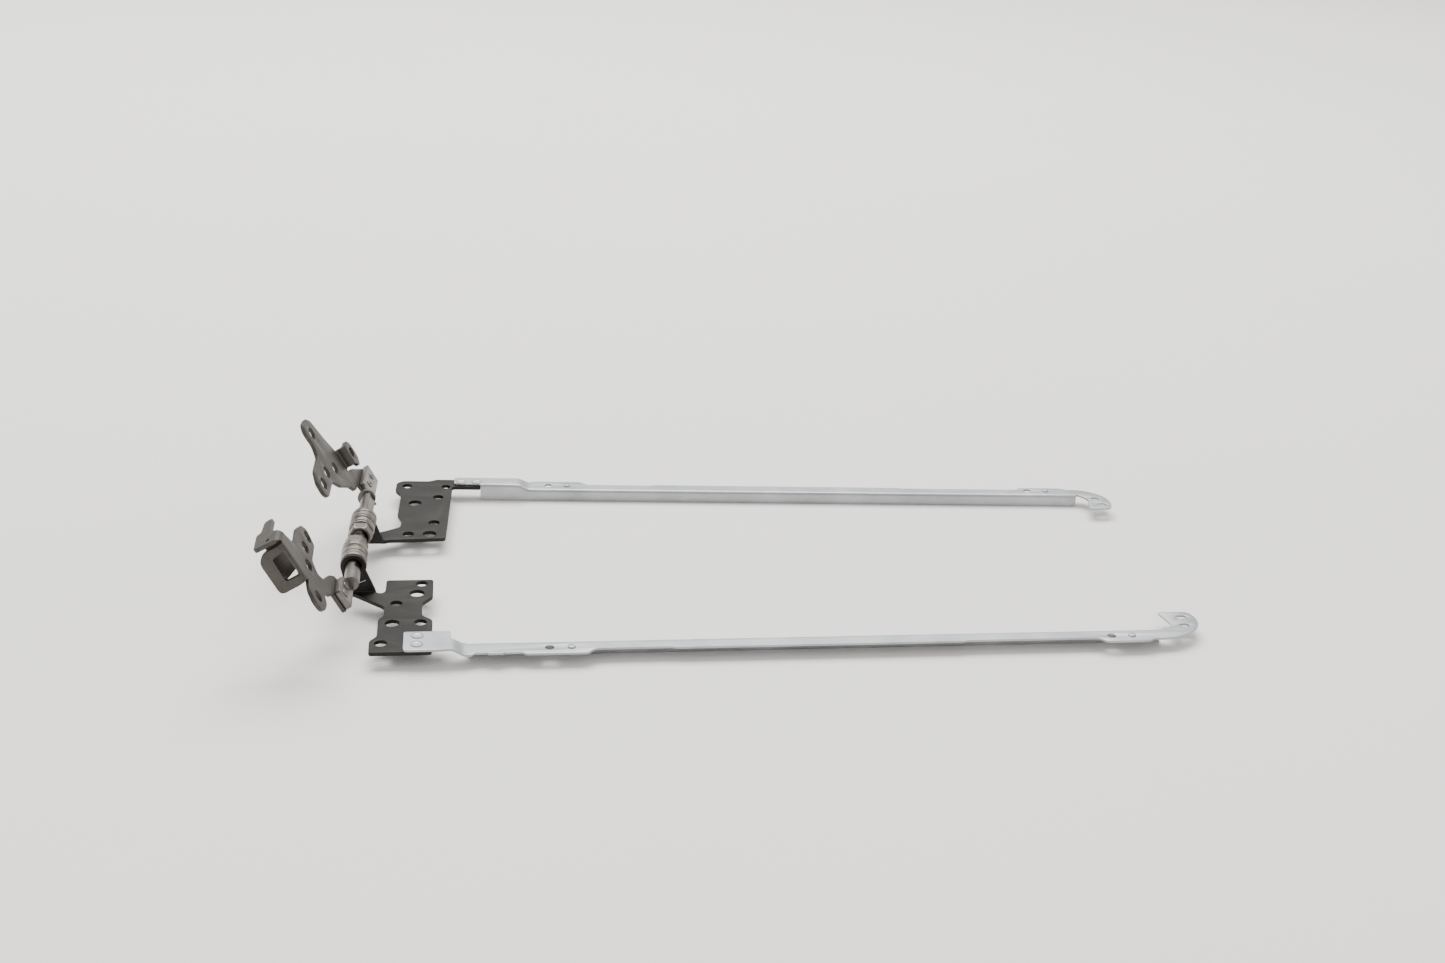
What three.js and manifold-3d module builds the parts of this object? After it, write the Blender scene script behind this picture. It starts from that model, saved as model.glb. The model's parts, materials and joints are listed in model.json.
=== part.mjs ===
// A left and right pair of friction hinges for a notebook display, each with its long display rail.
// Millimetres, +Z up. Each hinge is drawn in its own frame: x runs along the rail from the hinge axis,
// y runs along the hinge axis from the rail's screw line towards the other hinge, z up from the table.
import * as THREE from "three";
import { mergeVertices } from "three/addons/utils/BufferGeometryUtils.js";
import Module from "manifold-3d";

const wasm = await Module();
wasm.setup();

// Layout of the pair
const TOE_IN = 1.35; // each rail turns this many degrees towards the other
const EAR_GAP = 27.7; // between the two lid ears, along the hinge axes
const AXIS_SHIFT = 1.8; // the far axis lies this much nearer the rails

// Hinge
const AXIS_Z = 11.4;
const OPEN_ANGLE = 119; // base bracket above the lid leaf, as laid on the table
const SHEET = 1.0; // hinge plates
const FIT = 0.1; // clearance between stacked pieces
const LEAF_TOP = 4.3;
const LEAF_BOTTOM = LEAF_TOP - SHEET;

// Rail
const RAIL_SHEET = 0.6;
const RAIL_TOP = 3.5;
const PLATE_BOTTOM = LEAF_TOP + 0.05; // the raised end that lies on the leaf
const RAIL_INNER = 3.2; // y of the folded flange's outer face
const RAIL_END = 203.4; // x where the folded flange stops
const SCREW_HOLES = [48.4, 189.4]; // x of the display screw holes
const SCREW_R = 1.05;
const BOSS_PITCH = 5.3;
const BOSS_R = 1.0;

// Friction stack
const SHAFT_R = 1.9;
const SHAFT_FLAT = 1.35; // half the distance across the flats
const BORE_R = 2.05;
const SHAFT_END = 0.2; // the shaft ends this far past its nut
const NUT_R = 3.2; // across the corners
const NUT_LENGTH = 3.3;
const STAKE_R = 0.7; // shanks of the rivets that hold the shaft to its bracket
const STAKE_HEAD_R = 1.1;
const STAKE_BORE_R = 0.78;
const SEGMENTS = 24;
const HOLE_SEGMENTS = 18;

// length along the axis, outer radius, dishing, which side turns it
const STACK = [
  { name: "friction_bush", length: 1.9, radius: 3.3, dish: 0, side: "lid" },
  { name: "friction_disc_a", length: 0.9, radius: 3.2, dish: 0, side: "base" },
  { name: "friction_disc_b", length: 0.9, radius: 3.3, dish: 0, side: "lid" },
  { name: "friction_disc_c", length: 0.9, radius: 3.2, dish: 0, side: "base" },
  { name: "backing_washer", length: 0.8, radius: 3.0, dish: 0, side: "base" },
  { name: "disc_spring_a", length: 0.5, radius: 3.3, dish: 0.3, side: "base" },
  { name: "disc_spring_b", length: 0.5, radius: 3.3, dish: -0.3, side: "base" },
  { name: "pressure_washer", length: 0.7, radius: 3.2, dish: 0, side: "base" },
];

// Clinch rivets between rail and leaf
const RIVET_R = 1.0; // clinch rivet shank
const RIVET_HEAD_R = 1.5;
const NEAR_RIVETS = [
  [16.9, 4.5],
  [16.8, 0.3],
];
const FAR_RIVETS = [
  [23.6, 1.3],
  [28.0, 1.3],
];

// Near hinge
const NEAR_AXIS_X = 0.8; // the near axis stands this far off the line its leaf is drawn from
const NEAR_EAR = 29.7; // y of the ear's face towards the friction stack
const NEAR_EAR_R = 3.2; // round end of the lid ear
const NEAR_LEAF_HOLES = [
  [17.5, 32.9, 1.4],
  [16.4, 27.7, 1.8],
  [11.4, 22.4, 1.45],
  [10.7, 12.1, 1.75],
  [17.5, 12.4, 1.5],
  [8.3, 2.2, 1.5],
];
const NEAR_TONGUE_T = 0.3; // t of the tongue's upper face
const NEAR_BRACKET_T = 1.8; // t of the bracket's face under the shaft's tongue
const NEAR_TONGUE = [9.9, 20.0];
const NEAR_SHAFT_RIVETS = [
  [1.6, 12.2],
  [1.6, 16.2],
];
const NEAR_BASE_HOLES = [
  [16.8, 17.6, 1.65],
  [17.0, 11.6, 1.65],
  [14.7, 6.2, 1.65],
  [9.5, -0.9, 1.65],
];
const BOX_DEPTH = 7.1; // the folded box hangs this far from the bracket's face
const BOX_U0 = 14.0;
const BOX_U1 = 26.4;
const BOX_Y = -1.4; // its outer wall

// Far hinge
const FAR_EAR = 39.8;
const FAR_EAR_R = 2.8;
const FAR_LEAF_HOLES = [
  [8.5, 3.2, 1.35],
  [17.6, 10.6, 1.4],
  [11.5, 14.7, 1.75],
  [17.4, 27.3, 1.5],
  [11.0, 34.6, 1.5],
  [16.6, 34.4, 1.8],
  [19.4, 3.4, 1.2],
];
const FAR_TONGUE_T = -0.4;
const FAR_BRACKET_T = 1.1;
const FAR_TONGUE = [12.2, 26.6];
const FAR_SHAFT_RIVETS = [
  [1.2, 15.4],
  [1.2, 20.6],
];
const FAR_BASE_HOLES = [
  [25.4, 34.4, 1.7],
  [14.0, 33.9, 1.7],
  [16.4, 41.6, 1.7],
  [16.4, 48.6, 1.7],
];
const TAB_RISE = 2.5; // the stepped tab stands this far above the bracket's face
const COLLAR_R = 2.4; // the far shaft's collar, against the end of its tongue
const COLLAR_LENGTH = 1.0;
const COLLAR_SHIFT = [0.24, 0, 0.44]; // it stands off the axis towards the bracket

// Materials
function darkSteel() {
  return new THREE.MeshStandardMaterial({ color: 0x5a554e, roughness: 0.5, metalness: 0.8 });
}

function bronzedSteel() {
  return new THREE.MeshStandardMaterial({ color: 0x8b8074, roughness: 0.4, metalness: 0.9 });
}

function brightSteel() {
  return new THREE.MeshStandardMaterial({ color: 0xa9a7a2, roughness: 0.35, metalness: 0.95 });
}

function zincSteel() {
  return new THREE.MeshStandardMaterial({ color: 0xaeb2b8, roughness: 0.45, metalness: 0.85 });
}

// Solids
function solid(geometry) {
  const bare = geometry.clone();
  bare.deleteAttribute("normal");
  bare.deleteAttribute("uv");
  const merged = mergeVertices(bare, 1e-4);
  return new wasm.Manifold(
    new wasm.Mesh({
      numProp: 3,
      vertProperties: new Float32Array(merged.attributes.position.array),
      triVerts: new Uint32Array(merged.index.array),
    }),
  );
}

function geometryOf(manifold) {
  const mesh = manifold.getMesh();
  const geometry = new THREE.BufferGeometry();
  geometry.setAttribute("position", new THREE.BufferAttribute(new Float32Array(mesh.vertProperties), 3));
  geometry.setIndex(new THREE.BufferAttribute(new Uint32Array(mesh.triVerts), 1));
  const flat = geometry.toNonIndexed();
  flat.computeVertexNormals();
  return flat;
}

function outline(points) {
  return new THREE.Shape(points.map(([x, y]) => new THREE.Vector2(x, y)));
}

// A flat plate between two heights, with its corners cut as given by the outline.
function plate(points, z0, z1) {
  const geometry = new THREE.ExtrudeGeometry(outline(points), { depth: z1 - z0, bevelEnabled: false });
  return solid(geometry.translate(0, 0, z0));
}

function block(x0, x1, y0, y1, z0, z1) {
  const geometry = new THREE.BoxGeometry(x1 - x0, y1 - y0, z1 - z0);
  return solid(geometry.translate((x0 + x1) / 2, (y0 + y1) / 2, (z0 + z1) / 2));
}

// An upright round bar between two heights.
function post(x, y, radius, z0, z1, segments = SEGMENTS) {
  const geometry = new THREE.CylinderGeometry(radius, radius, z1 - z0, segments);
  return solid(geometry.rotateX(Math.PI / 2).translate(x, y, (z0 + z1) / 2));
}

// A round bar along the hinge axis.
function bar(radius, y0, y1, segments = SEGMENTS) {
  const geometry = new THREE.CylinderGeometry(radius, radius, y1 - y0, segments);
  return solid(geometry.translate(0, (y0 + y1) / 2, AXIS_Z));
}

// A round slot, longer along x.
function slot(x, y, length, radius, z0, z1) {
  const reach = length / 2 - radius;
  return post(x - reach, y, radius, z0, z1, 16)
    .add(post(x + reach, y, radius, z0, z1, 16))
    .add(block(x - reach, x + reach, y - radius, y + radius, z0, z1));
}

// A sheet profile in the y-z plane, swept along x.
function channel(points, x0, x1) {
  const geometry = new THREE.ExtrudeGeometry(outline(points), { depth: x1 - x0, bevelEnabled: false });
  geometry.applyMatrix4(new THREE.Matrix4().set(0, 0, 1, x0, 1, 0, 0, 0, 0, 1, 0, 0, 0, 0, 0, 1));
  return solid(geometry);
}

// A profile in the x-z plane, swept along y.
function wall(points, y0, y1) {
  const geometry = new THREE.ExtrudeGeometry(outline(points), { depth: y1 - y0, bevelEnabled: false });
  geometry.applyMatrix4(new THREE.Matrix4().set(1, 0, 0, 0, 0, 0, -1, y1, 0, 1, 0, 0, 0, 0, 0, 1));
  return solid(geometry);
}

function arc(cx, cy, radius, from, to, steps) {
  const points = [];
  for (let i = 0; i <= steps; i += 1) {
    const a = THREE.MathUtils.degToRad(from + ((to - from) * i) / steps);
    points.push([cx + radius * Math.cos(a), cy + radius * Math.sin(a)]);
  }
  return points;
}

// Rounds the corners of a closed outline.
function rounded(points, radius, steps = 3) {
  const result = [];
  points.forEach((corner, i) => {
    const c = new THREE.Vector2(...corner);
    const before = new THREE.Vector2(...points[(i + points.length - 1) % points.length]).sub(c);
    const after = new THREE.Vector2(...points[(i + 1) % points.length]).sub(c);
    const cut = Math.min(radius, before.length() * 0.45, after.length() * 0.45);
    const a = c.clone().add(before.setLength(cut));
    const b = c.clone().add(after.setLength(cut));
    for (let k = 0; k <= steps; k += 1) {
      const t = k / steps;
      const p = a.clone().multiplyScalar((1 - t) * (1 - t));
      p.addScaledVector(c, 2 * t * (1 - t)).addScaledVector(b, t * t);
      result.push([p.x, p.y]);
    }
  });
  return result;
}

// Rails

// The folded edge: flat top with a flange that hangs down at the inner side.
function railProfile(outer, top, bottom) {
  const bend = 0.9;
  const y = RAIL_INNER;
  return [
    [outer, top - RAIL_SHEET],
    [y - bend, top - RAIL_SHEET],
    ...arc(y - bend, top - bend, bend - RAIL_SHEET, 90, 0, 3).slice(1),
    [y - RAIL_SHEET, bottom],
    [y, bottom],
    ...arc(y - bend, top - bend, bend, 0, 90, 5),
    [outer, top],
  ];
}

const NEAR_HOOK = {
  outline: [
    [199, -1.9],
    [206.5, -1.2],
    [211.2, 1.2],
    [214.2, 4.4],
    [214.9, 8.6],
    [213.6, 11.8],
    [205.6, 11.9],
    [207.2, 5.2],
    [204.6, 2.9],
    [199, 2.9],
  ],
  slots: [
    [211.1, 9.1, 2.8, 0.85],
    [210.4, 4.8, 2.5, 0.75],
  ],
};
const FAR_HOOK = {
  outline: [
    [199, -1.2],
    [205.6, -1.0],
    [209.6, 1.0],
    [212.2, 3.8],
    [212.9, 8.0],
    [211.8, 11.6],
    [205.2, 11.9],
    [206.2, 5.2],
    [204.4, 2.9],
    [199, 2.9],
  ],
  slots: [
    [209.4, 9.0, 2.6, 0.8],
    [208.4, 4.9, 2.3, 0.7],
  ],
};

// What both rails share: the long folded strip, its wider screw seats, and the hook at its end.
function railStrip(start, outerSeat, hook) {
  const low = RAIL_TOP - RAIL_SHEET;
  const seat = (x0, x1, y) => [
    [x0, 1],
    [x0 + 1, y],
    [x1 - 1.6, y],
    [x1, -0.6],
    [x1, 1],
  ];
  let strip = channel(railProfile(-0.6, RAIL_TOP, 0), start, RAIL_END)
    .add(plate(seat(start, 59, -2.7), low, RAIL_TOP))
    .add(plate(seat(185.2, 201.8, outerSeat), low, RAIL_TOP))
    .add(plate(seat(78, 152, -1.1), low, RAIL_TOP))
    .add(plate(rounded(hook.outline, 1.1), low, RAIL_TOP));
  hook.slots.forEach((opening) => {
    strip = strip.subtract(slot(...opening, 0, RAIL_TOP + 1));
  });
  SCREW_HOLES.forEach((x) => {
    strip = strip
      .subtract(post(x, 0, SCREW_R, 0, 6, HOLE_SEGMENTS))
      .add(post(x + BOSS_PITCH, 0, BOSS_R, low, RAIL_TOP + 0.45, HOLE_SEGMENTS))
      .subtract(post(x + BOSS_PITCH, 0, BOSS_R - 0.35, low - 1, RAIL_TOP - 0.1, 16));
  });
  return strip;
}

// A joggle from the raised end level down to the rail's own level.
function joggle(x0, x1, y0, y1) {
  const top = PLATE_BOTTOM + RAIL_SHEET;
  return wall(
    [
      [x0 - 0.4, PLATE_BOTTOM],
      [x0, PLATE_BOTTOM],
      [x1 - 0.3, RAIL_TOP - RAIL_SHEET],
      [x1 + 0.4, RAIL_TOP - RAIL_SHEET],
      [x1 + 0.4, RAIL_TOP],
      [x1, RAIL_TOP],
      [x0 + 0.3, top],
      [x0 - 0.4, top],
    ],
    y0,
    y1,
  );
}

function rivetHoles(rivets) {
  return rivets.map(([x, y]) => post(x, y, RIVET_R + 0.08, 0, 9, HOLE_SEGMENTS));
}

function nearRail() {
  const top = PLATE_BOTTOM + RAIL_SHEET;
  const end = rounded(
    [
      [13.6, -2.2],
      [14.4, -2.6],
      [22.4, -2.6],
      [24.8, -2.0],
      [24.8, 6.5],
      [13.6, 6.5],
    ],
    0.8,
  );
  let rail = railStrip(28.6, -2.7, NEAR_HOOK)
    .add(plate(end, PLATE_BOTTOM, top))
    .add(joggle(24.4, 28.4, -2.7, 2.9));
  // locating tongue that stands a little proud of the outer edge
  rail = rail
    .subtract(block(29.6, 42.2, -4, -1.9, 0, 6))
    .add(block(33.7, 37.5, -2.8, -1.5, RAIL_TOP - RAIL_SHEET, RAIL_TOP))
    .add(block(33.7, 37.5, -2.8, -1.7, RAIL_TOP - 0.1, RAIL_TOP + 0.35));
  rivetHoles(NEAR_RIVETS).forEach((hole) => {
    rail = rail.subtract(hole);
  });
  return rail;
}

function farRail() {
  const top = PLATE_BOTTOM + RAIL_SHEET;
  let rail = railStrip(43.2, -1.9, FAR_HOOK)
    .add(channel(railProfile(-1.6, top, 0), 29.2, 39.4))
    .add(block(21.4, 29.6, -1.6, RAIL_INNER + 0.3, PLATE_BOTTOM, top))
    .add(joggle(39.0, 43.0, -1.9, 2.6))
    .add(wall(
      [
        [39.2, 0],
        [43.6, 0],
        [43.6, RAIL_TOP - 0.9],
        [39.2, top - 0.9],
      ],
      RAIL_INNER - RAIL_SHEET,
      RAIL_INNER,
    ));
  const corner = 0.9;
  rail = rail.add(
    wall(
      [
        [39.0, PLATE_BOTTOM - 0.6],
        [43.4, RAIL_TOP - RAIL_SHEET - 0.6],
        [43.4, RAIL_TOP - 0.12],
        [39.0, top - 0.12],
      ],
      RAIL_INNER - corner,
      RAIL_INNER - 0.12,
    ),
  );
  rivetHoles(FAR_RIVETS).forEach((hole) => {
    rail = rail.subtract(hole);
  });
  return rail;
}

// Lid leaves

function earProfile(foot0, foot1, hubX, hubR) {
  return [
    [foot0, LEAF_BOTTOM],
    [foot1, LEAF_BOTTOM],
    [foot1, LEAF_TOP + 0.6],
    ...arc(hubX, AXIS_Z, hubR, -20, 200, 16),
  ];
}

function pierced(leaf, holes) {
  return holes.reduce(
    (rest, [x, y, radius]) => rest.subtract(post(x, y, radius, 0, 9, HOLE_SEGMENTS)),
    leaf,
  );
}

// a narrow slanting slit through the near ear, below its bore
const EAR_SLIT = [
  [2.0, 6.4],
  [3.7, 7.2],
  [3.8, 7.7],
  [2.0, 6.9],
];

function nearLeaf() {
  const face = rounded(
    [
      [20.4, -2.3],
      [20.4, 13.6],
      [17.9, 15.8],
      [17.7, 22.3],
      [20.4, 26.0],
      [20.4, 35.1],
      [8.6, 35.1],
      [8.5, 29.7],
      [-1.0, 29.7],
      [-1.0, 28.2],
      [0.5, 28.2],
      [8.5, 20.8],
      [8.5, 16.0],
      [7.2, 14.2],
      [7.2, 5.6],
      [5.5, 3.4],
      [5.5, -2.3],
    ],
    0.9,
  );
  let leaf = plate(face, LEAF_BOTTOM, LEAF_TOP)
    .add(wall(earProfile(-1.0, 6.0, NEAR_AXIS_X, NEAR_EAR_R), NEAR_EAR - SHEET, NEAR_EAR))
    .subtract(bar(BORE_R, NEAR_EAR - 3, NEAR_EAR + 3).translate([NEAR_AXIS_X, 0, 0]))
    .subtract(wall(EAR_SLIT, NEAR_EAR - 3, NEAR_EAR + 3));
  leaf = pierced(leaf, NEAR_LEAF_HOLES);
  rivetHoles(NEAR_RIVETS).forEach((hole) => {
    leaf = leaf.subtract(hole);
  });
  return leaf;
}

function farLeaf() {
  const face = rounded(
    [
      [21.2, 3.3],
      [21.0, 36.9],
      [4.0, FAR_EAR],
      [-1.2, FAR_EAR],
      [-1.2, 35.6],
      [3.8, 33.4],
      [8.5, 30.2],
      [8.6, 26.4],
      [7.2, 22.6],
      [7.2, 9.2],
      [5.4, 6.2],
      [5.4, 1.2],
      [7.0, -0.3],
      [14.6, -0.3],
      [16.4, -1.5],
      [34.6, -1.5],
      [34.6, 2.2],
      [29.1, 2.2],
      [29.1, 3.3],
    ],
    0.9,
  );
  let leaf = plate(face, LEAF_BOTTOM, LEAF_TOP)
    .add(wall(earProfile(-1.2, 4.6, 0, FAR_EAR_R), FAR_EAR - SHEET, FAR_EAR))
    .subtract(bar(BORE_R, FAR_EAR - 3, FAR_EAR + 3));
  leaf = pierced(leaf, FAR_LEAF_HOLES);
  rivetHoles(FAR_RIVETS).forEach((hole) => {
    leaf = leaf.subtract(hole);
  });
  return leaf;
}

function clinchRivet([x, y]) {
  const top = PLATE_BOTTOM + RAIL_SHEET;
  return post(x, y, RIVET_R, LEAF_BOTTOM + 0.05, top + 0.2, HOLE_SEGMENTS)
    .add(post(x, y, RIVET_HEAD_R, top + 0.03, top + 0.3, HOLE_SEGMENTS))
    .subtract(post(x, y, RIVET_HEAD_R - 0.55, top + 0.15, top + 1, HOLE_SEGMENTS));
}

// Shaft, base bracket and friction stack. The base side is drawn lying flat: u away from the axis,
// y along it, t through the plate, then raised to the open angle.
function raised(manifold) {
  const a = THREE.MathUtils.degToRad(OPEN_ANGLE);
  const c = Math.cos(a);
  const s = Math.sin(a);
  // columns: u, y, t, origin on the axis
  return manifold.transform([c, 0, s, 0, 0, 1, 0, 0, -s, 0, c, 0, 0, 0, AXIS_Z, 1]);
}

function flattened(radius, y0, y1) {
  const half = SHAFT_FLAT;
  return bar(radius, y0, y1).intersect(
    block(-radius - 1, radius + 1, y0 - 1, y1 + 1, AXIS_Z - half, AXIS_Z + half),
  );
}

// Tongue for the bracket, neck, journal with flats, thread end. The flats begin at flatsFrom.
function shaft({ ear, tongue, tongueT, bracketT, tongueU, flatsFrom, shaftRivets, collar }) {
  const [y0, y1] = tongue;
  const [u0, u1] = tongueU;
  const face = rounded(
    [
      [u0, y0],
      [u1, y0],
      [u1, y1 - 2.5],
      [u1 - 2.1, y1],
      [u0, y1],
    ],
    0.7,
  );
  const lay = new THREE.Matrix4().makeTranslation(0, 0, -AXIS_Z);
  let body = bar(SHAFT_R, y1 - 0.4, flatsFrom + 0.5)
    .add(flattened(SHAFT_R, flatsFrom, stackEnd(ear) + NUT_LENGTH + SHAFT_END));
  if (collar) {
    body = body.add(bar(COLLAR_R, y1 - 0.1, y1 - 0.1 + COLLAR_LENGTH).translate(COLLAR_SHIFT));
  }
  let turned = plate(face, tongueT, bracketT - 0.05).add(body.transform(lay.elements));
  shaftRivets.forEach(([u, y]) => {
    turned = turned.subtract(post(u, y, STAKE_BORE_R, -4, 4, 12));
  });
  return raised(turned);
}

function shaftRivet([u, y], tongueT, bracketT) {
  const back = bracketT + SHEET;
  return raised(
    post(u, y, STAKE_R, tongueT - 0.1, back + 0.2, 12)
      .add(post(u, y, STAKE_HEAD_R, tongueT - 0.25, tongueT - 0.05, 12))
      .add(post(u, y, STAKE_HEAD_R, back + 0.05, back + 0.35, 12)),
  );
}

function stackEnd(ear) {
  return STACK.reduce((y, piece) => y + piece.length + FIT + Math.abs(piece.dish), ear + FIT);
}

// A washer from y0, with a round bore and, if it is dished, a cone.
function washer(piece, y0) {
  const lift = Math.abs(piece.dish);
  const bore = piece.side === "lid" ? BORE_R : BORE_R - 0.05;
  const inner = piece.dish > 0 ? 0 : lift;
  const outer = piece.dish > 0 ? lift : 0;
  const profile = [
    [bore, inner],
    [piece.radius, outer],
    [piece.radius, outer + piece.length - 0.15],
    [piece.radius - 0.15, outer + piece.length],
    [bore, inner + piece.length],
  ];
  if (lift === 0) {
    profile.splice(1, 1, [piece.radius - 0.15, 0], [piece.radius, 0.15]);
  }
  const points = [...profile, profile[0]].map(([r, y]) => new THREE.Vector2(r, y));
  return solid(new THREE.LatheGeometry(points, SEGMENTS).translate(0, y0, AXIS_Z));
}

function lockNut(ear) {
  const y0 = stackEnd(ear);
  const y1 = y0 + NUT_LENGTH;
  const hexagon = new THREE.CylinderGeometry(NUT_R, NUT_R, NUT_LENGTH, 6)
    .rotateY(THREE.MathUtils.degToRad(OPEN_ANGLE))
    .translate(0, (y0 + y1) / 2, AXIS_Z);
  const crown = new THREE.LatheGeometry(
    [
      [0, 0],
      [NUT_R - 0.3, 0],
      [NUT_R + 0.1, 0.4],
      [NUT_R + 0.1, NUT_LENGTH - 0.5],
      [NUT_R - 0.4, NUT_LENGTH],
      [0, NUT_LENGTH],
    ].map(([r, y]) => new THREE.Vector2(r, y)),
    SEGMENTS,
  ).translate(0, y0, AXIS_Z);
  return solid(hexagon).intersect(solid(crown)).subtract(bar(BORE_R, y0 - 1, y1 + 1));
}

// Base brackets

function drilled(bracket, holes) {
  return holes.reduce(
    (rest, [u, y, radius]) => rest.subtract(post(u, y, radius, -9, 12, HOLE_SEGMENTS)),
    bracket,
  );
}

function nearBracket() {
  const t0 = NEAR_BRACKET_T;
  const t1 = t0 + SHEET;
  const low = t0 + BOX_DEPTH;
  const face = rounded(
    [
      [-1.8, 9.4],
      [4.0, 9.4],
      [4.8, 7.0],
      [6.6, 5.8],
      [7.2, 3.0],
      [5.9, 1.0],
      [6.2, -2.6],
      [7.8, -4.6],
      [10.4, -4.8],
      [12.8, -3.2],
      [14.6, BOX_Y],
      [BOX_U1, BOX_Y],
      [BOX_U1, 4.2],
      [21.0, 6.4],
      [21.2, 14.6],
      [20.0, 18.4],
      [17.8, 20.2],
      [13.8, 18.2],
      [13.7, 10.2],
      [11.0, 8.0],
      [8.6, 9.2],
      [6.8, 14.6],
      [4.6, 17.8],
      [-1.8, 18.2],
    ],
    0.9,
  );
  const outerWall = wall(
    rounded(
      [
        [BOX_U0, t0 + 0.2],
        [BOX_U1 - 0.8, t0 + 0.2],
        [BOX_U1 - 0.8, low - 1],
        [BOX_U1 - 2.2, low],
        [BOX_U0 - 0.4, low],
      ],
      1.3,
    ),
    BOX_Y,
    BOX_Y + SHEET,
  );
  const window = wall(
    rounded(
      [
        [16.6, t1 - 0.2],
        [23.6, t1 - 0.2],
        [23.0, t0 + 4.0],
        [16.6, t0 + 4.2],
      ],
      0.6,
    ),
    BOX_Y - 1,
    BOX_Y + SHEET + 0.4,
  );
  const innerWall = wall(
    [
      [BOX_U1 - 0.2, t0 + 0.2],
      [16.0, t0 + 0.2],
      [14.4, t0 + 5.2],
      [BOX_U1 - 0.2, t0 + 5.2],
    ].reverse(),
    2.0,
    2.0 + SHEET,
  );
  const endWall = channel(
    rounded(
      [
        [-1.0, t0 + 0.3],
        [4.2, t0 + 0.3],
        [5.4, t0 + 2.6],
        [13.0, t0 + 2.6],
        [13.0, t0 + 5.0],
        [7.6, t0 + 5.4],
        [7.0, t0 + 6.6],
        [-1.0, t0 + 6.8],
      ],
      0.7,
    ),
    BOX_U1 - 0.6,
    BOX_U1 + 0.4,
  );
  const folded = plate(face, t0, t1).add(outerWall).subtract(window).add(innerWall).add(endWall);
  return raised(drilled(folded, [...NEAR_BASE_HOLES, ...rivetBores(NEAR_SHAFT_RIVETS)]));
}

function rivetBores(rivets) {
  return rivets.map(([u, y]) => [u, y, STAKE_BORE_R]);
}

function farBracket() {
  const t0 = FAR_BRACKET_T;
  const t1 = t0 + SHEET;
  const top = t0 - TAB_RISE;
  const face = rounded(
    [
      [-1.6, 12.4],
      [3.4, 13.0],
      [5.8, 17.6],
      [8.0, 22.2],
      [9.6, 24.6],
      [16.6, 25.4],
      [20.6, 28.0],
      [27.4, 30.0],
      [29.2, 32.4],
      [29.4, 36.6],
      [27.6, 38.6],
      [23.4, 38.4],
      [20.9, 40.6],
      [20.6, 49.0],
      [18.4, 52.4],
      [15.2, 52.8],
      [13.3, 51.0],
      [13.5, 41.6],
      [9.8, 37.6],
      [6.6, 31.4],
      [4.2, 29.2],
      [3.8, 24.0],
      [-1.6, 23.0],
    ],
    0.9,
  );
  const riser = block(9.6, 15.4, 24.4, 24.4 + SHEET, top + 0.3, t1 - 0.1);
  const shelf = plate(
    rounded(
      [
        [9.4, 24.4 + SHEET],
        [15.4, 24.4 + SHEET],
        [15.4, 20.8],
        [13.8, 19.2],
        [9.2, 19.2],
        [7.6, 21.4],
        [7.8, 24.2],
      ],
      0.9,
    ),
    top,
    top + SHEET,
  ).subtract(post(12.0, 22.1, 1.6, top - 1, top + 2, 20));
  const folded = plate(face, t0, t1).add(riser).add(shelf)
    .subtract(post(9.2, 24.5, 1.2, t0 - 0.6, t1 + 1, 20));
  return raised(drilled(folded, [...FAR_BASE_HOLES, ...rivetBores(FAR_SHAFT_RIVETS)]));
}

// Assembly

function mesh(name, manifold, material) {
  const made = new THREE.Mesh(geometryOf(manifold), material);
  made.name = name;
  return made;
}

function hinge(prefix, parts) {
  const unit = new THREE.Group();
  const add = (name, manifold, material) => unit.add(mesh(prefix + "_" + name, manifold, material));
  const addOnAxis = (name, manifold, material) => {
    add(name, manifold.translate([parts.axisX, 0, 0]), material);
  };
  add("display_rail", parts.rail, zincSteel());
  add("lid_leaf", parts.leaf, darkSteel());
  parts.clinchRivets.forEach((at, i) => add("clinch_rivet_" + (i + 1), clinchRivet(at), zincSteel()));
  addOnAxis("shaft", shaft(parts), brightSteel());
  addOnAxis("base_bracket", parts.bracket, darkSteel());
  parts.shaftRivets.forEach((at, i) => {
    addOnAxis("shaft_rivet_" + (i + 1), shaftRivet(at, parts.tongueT, parts.bracketT), darkSteel());
  });
  let y = parts.ear + FIT;
  STACK.forEach((piece) => {
    const material = piece.dish === 0 ? bronzedSteel() : brightSteel();
    addOnAxis(piece.name, washer(piece, y), material);
    y += piece.length + FIT + Math.abs(piece.dish);
  });
  addOnAxis("lock_nut", lockNut(parts.ear), darkSteel());
  return unit;
}

const near = hinge("near", {
  axisX: NEAR_AXIS_X,
  rail: nearRail(),
  leaf: nearLeaf(),
  clinchRivets: NEAR_RIVETS,
  ear: NEAR_EAR,
  tongue: NEAR_TONGUE,
  tongueU: [-1.6, 3.9],
  tongueT: NEAR_TONGUE_T,
  bracketT: NEAR_BRACKET_T,
  flatsFrom: NEAR_EAR - 4,
  shaftRivets: NEAR_SHAFT_RIVETS,
  collar: false,
  bracket: nearBracket(),
});
const far = hinge("far", {
  axisX: 0,
  rail: farRail(),
  leaf: farLeaf(),
  clinchRivets: FAR_RIVETS,
  ear: FAR_EAR,
  tongue: FAR_TONGUE,
  tongueU: [-2.0, 3.7],
  tongueT: FAR_TONGUE_T,
  bracketT: FAR_BRACKET_T,
  flatsFrom: FAR_TONGUE[1] + 1.3,
  shaftRivets: FAR_SHAFT_RIVETS,
  collar: true,
  bracket: farBracket(),
});

// The near hinge turns about its own axis line; the far one is its opposite hand.
const turn = THREE.MathUtils.degToRad(TOE_IN);
near.rotation.z = turn;
far.rotation.z = -turn;
far.scale.y = -1;
far.position.set(AXIS_SHIFT, NEAR_EAR + EAR_GAP + FAR_EAR, 0);

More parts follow.
